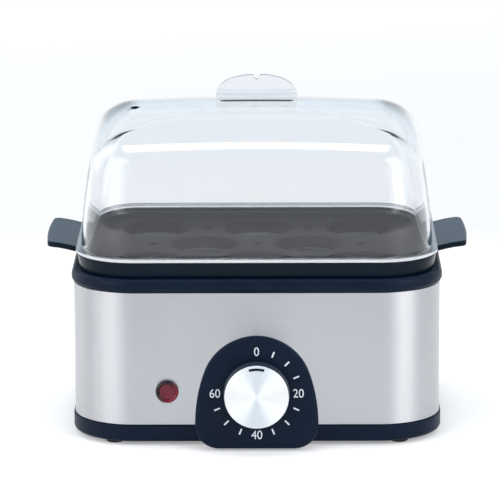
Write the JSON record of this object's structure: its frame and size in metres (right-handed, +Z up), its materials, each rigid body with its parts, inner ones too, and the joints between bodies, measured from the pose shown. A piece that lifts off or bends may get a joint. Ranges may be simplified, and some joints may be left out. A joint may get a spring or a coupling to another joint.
{
  "type": "electric egg boiler",
  "caption": "Electric egg boiler: steel band body on a black base, clockwork timer dial, lamp, seated egg tray with side handles, clear domed lid with a grip.",
  "frame": {"origin": "middle of the bounding box, on the plane that the feet stand on", "axes": "+X to the right of the front, -Y is the front with the dial, +Z up"},
  "size_m": [0.2298, 0.177, 0.1885],
  "materials": {
    "brushed_steel": "fine vertical brushing, satin",
    "plain_steel": "plain pressed sheet",
    "spun_metal": "spun, fine concentric turning marks",
    "brass": "stamped, satin",
    "black_moulding": "satin, blue-black",
    "gloss_black": "glossy, blue-black",
    "rubber": "matt",
    "seal": "matt grey silicone",
    "clear": "clear, polished",
    "red_lens": "clear red, polished",
    "bulb_glass": "clear",
    "pale_moulding": "cream heat-proof moulding",
    "brown_wire": "insulated wire",
    "blue_wire": "insulated wire",
    "green_wire": "insulated wire"
  },
  "bodies": {
    "boiler": {"base_pan": "black_moulding", "dial_housing": "black_moulding", "upper_trim": "black_moulding", "steel_band": "brushed_steel", "water_dish": "plain_steel", "dish_gasket": "seal", "heating_element": "plain_steel", "element_terminal_front": "pale_moulding", "element_terminal_rear": "pale_moulding", "heat_shield": "plain_steel", "shield_screw": "plain_steel", "earth_tag": "brass", "thermostat": "pale_moulding", "thermal_fuse": "pale_moulding", "timer_front_plate": "plain_steel", "timer_rear_plate": "plain_steel", "timer_pillar_1": "brass", "timer_pillar_2": "brass", "timer_pillar_3": "brass", "timer_screw_left": "plain_steel", "timer_screw_right": "plain_steel", "mainspring_cup": "plain_steel", "mainspring": "plain_steel", "switch_block": "pale_moulding", "switch_blade_moving": "brass", "switch_blade_fixed": "brass", "lamp_lens": "red_lens", "lamp_bulb": "bulb_glass", "lamp_nut": "black_moulding", "cord_bushing": "rubber", "terminal_block": "pale_moulding", "wire_live": "brown_wire", "wire_switched": "brown_wire", "wire_fused": "brown_wire", "wire_neutral": "blue_wire", "wire_earth": "green_wire", "wire_lamp": "blue_wire", "foot_front_left": "rubber", "tie_rod_front_left": "plain_steel", "base_screw_front_left": "plain_steel", "foot_front_right": "rubber", "tie_rod_front_right": "plain_steel", "base_screw_front_right": "plain_steel", "foot_rear_left": "rubber", "tie_rod_rear_left": "plain_steel", "base_screw_rear_left": "plain_steel", "foot_rear_right": "rubber", "tie_rod_rear_right": "plain_steel", "base_screw_rear_right": "plain_steel"},
    "tray": {"egg_tray": "gloss_black"},
    "lid": {"lid_dome": "clear", "lid_grip": "clear"},
    "knob": {"drive_gear": "brass", "switch_cam": "black_moulding", "knob_cap": "spun_metal", "knob_core": "black_moulding", "timer_shaft": "plain_steel"},
    "second_wheel": {"second_wheel": "brass"},
    "escape_wheel": {"escape_wheel": "brass"},
    "pallet": {"pallet_lever": "plain_steel"}
  },
  "joints": [
    {"name": "tray_lift", "type": "slide", "parent": "boiler", "child": "tray", "axis": [0, 0, 1], "range_m": [0, 0.12]},
    {"name": "lid_lift", "type": "slide", "parent": "tray", "child": "lid", "axis": [0, 0, 1], "range_m": [0, 0.12]},
    {"name": "knob_turn", "type": "hinge", "parent": "boiler", "child": "knob", "pos_m": [0, -0.08, 0.032], "axis": [0, 1, 0], "range_deg": [0, 270]},
    {"name": "second_wheel_turn", "type": "hinge", "parent": "boiler", "child": "second_wheel", "pos_m": [-0.01189, -0.05, 0.02767], "axis": [0, 1, 0], "range_deg": [-1080, 0]},
    {"name": "escape_wheel_turn", "type": "hinge", "parent": "boiler", "child": "escape_wheel", "pos_m": [-0.01004, -0.05, 0.01718], "axis": [0, 1, 0], "range_deg": [0, 3456]},
    {"name": "pallet_rock", "type": "hinge", "parent": "boiler", "child": "pallet", "pos_m": [-0.00064, -0.05, 0.01718], "axis": [0, 1, 0], "range_deg": [-4, 4]}
  ],
  "couplings": [
    {"joint": "second_wheel_turn", "follows": "knob_turn", "ratio": -4},
    {"joint": "escape_wheel_turn", "follows": "knob_turn", "ratio": 12.8}
  ]
}
